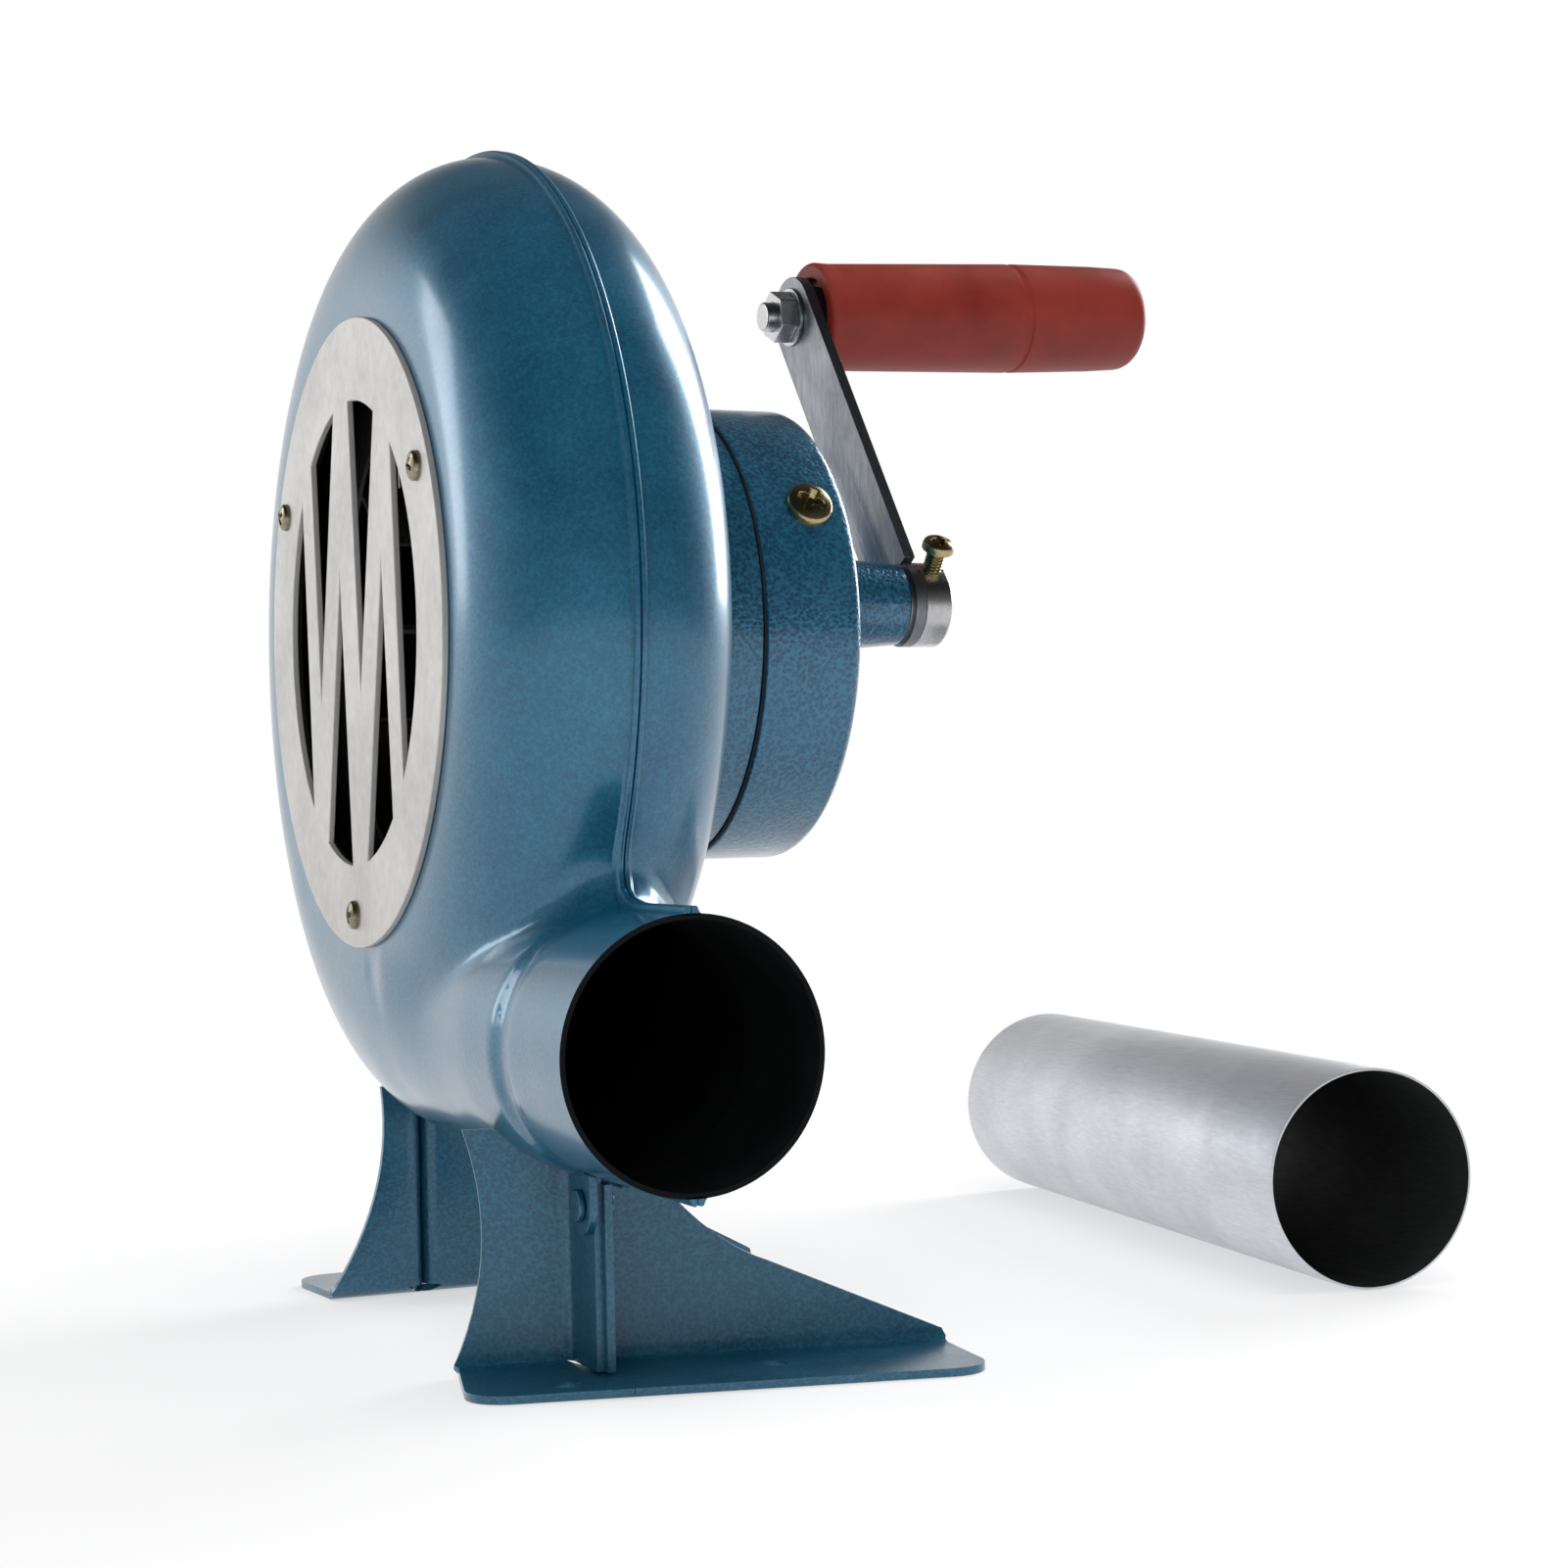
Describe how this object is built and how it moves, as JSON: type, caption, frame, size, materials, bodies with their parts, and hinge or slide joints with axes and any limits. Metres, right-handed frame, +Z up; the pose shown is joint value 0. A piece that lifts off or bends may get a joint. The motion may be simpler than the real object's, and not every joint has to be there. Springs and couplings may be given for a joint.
{
  "type": "hand-cranked forge blower",
  "caption": "Hand-cranked centrifugal forge blower: sheet scroll casing with slotted intake, geared crank with turning grip, splayed feet and a loose discharge pipe.",
  "frame": {"origin": "centre of the four foot holes, on the surface that the blower stands on", "axes": "+X along the shafts towards the crank, -Y where the outlet blows, +Z up"},
  "size_m": [0.2967, 0.2751, 0.2861],
  "materials": {
    "casing_paint": "semi-gloss blue enamel with a fine hammered ripple",
    "hammer_paint": "gloss blue hammer-finish enamel on cast metal",
    "satin_sheet": "light grey satin sheet",
    "zinc": "yellow zinc plated",
    "arm_steel": "dull grey plated steel",
    "bright_steel": "bright zinc plated steel",
    "gear_steel": "machined, lightly greased",
    "bronze": "sintered bronze",
    "fan_aluminium": "mill finish sheet",
    "gasket_rubber": "matt",
    "red_grip": "dull red moulded plastic",
    "galvanised": "satin galvanised sheet"
  },
  "bodies": {
    "root": {"front_casing": "casing_paint", "rear_casing": "casing_paint", "intake_grille": "satin_sheet", "grille_screws": "zinc", "front_foot_left": "casing_paint", "front_foot_right": "casing_paint", "rear_foot_left": "casing_paint", "rear_foot_right": "casing_paint", "nozzle_lug": "casing_paint", "lug_rivet": "bright_steel", "gearbox_base": "hammer_paint", "base_screws": "zinc", "gasket": "gasket_rubber", "gear_cover": "hammer_paint", "cover_screws": "zinc", "fan_bush_front": "bronze", "fan_bush_rear": "bronze", "crank_bush_inner": "bronze", "crank_bush_outer": "bronze", "idler_pin": "bright_steel"},
    "crank": {"crank_shaft": "bright_steel", "crank_gear": "gear_steel", "crank_gear_pin": "bright_steel", "thrust_washer": "bright_steel", "crank_arm": "arm_steel", "crank_collar": "bright_steel", "collar_screw": "zinc", "handle_bolt": "bright_steel", "handle_nut": "bright_steel", "handle_washer": "bright_steel", "handle_collar": "bright_steel"},
    "grip": {"handle_grip": "red_grip"},
    "idler": {"idler_pinion": "gear_steel", "idler_gear": "gear_steel"},
    "fan": {"fan_shaft": "bright_steel", "fan_pinion": "gear_steel", "impeller_hub": "fan_aluminium", "impeller_backplate": "fan_aluminium", "impeller_blades": "fan_aluminium", "impeller_shroud": "fan_aluminium", "impeller_rivets": "bright_steel", "impeller_nut": "zinc"},
    "pipe": {"discharge_pipe": "galvanised"}
  },
  "joints": [
    {"name": "crank_spin", "type": "hinge", "parent": "root", "child": "crank", "pos_m": [0.1075, 0.018, 0.1755], "axis": [1, 0, 0], "continuous": true},
    {"name": "grip_spin", "type": "hinge", "parent": "crank", "child": "grip", "pos_m": [0.10232, 0.07083, 0.25907], "axis": [0.9986, 0.028, 0.0442], "continuous": true},
    {"name": "idler_spin", "type": "hinge", "parent": "root", "child": "idler", "pos_m": [0.049, 0.00671, 0.14771], "axis": [1, 0, 0], "continuous": true},
    {"name": "fan_spin", "type": "hinge", "parent": "root", "child": "fan", "pos_m": [-0.006, 0.026, 0.168], "axis": [1, 0, 0], "continuous": true},
    {"name": "pipe_slide", "type": "slide", "parent": "root", "child": "pipe", "axis": [1, 0, 0], "range_m": [0, 0.15]}
  ],
  "couplings": [
    {"joint": "idler_spin", "follows": "crank_spin", "ratio": -3.2857},
    {"joint": "fan_spin", "follows": "crank_spin", "ratio": 12.048}
  ]
}
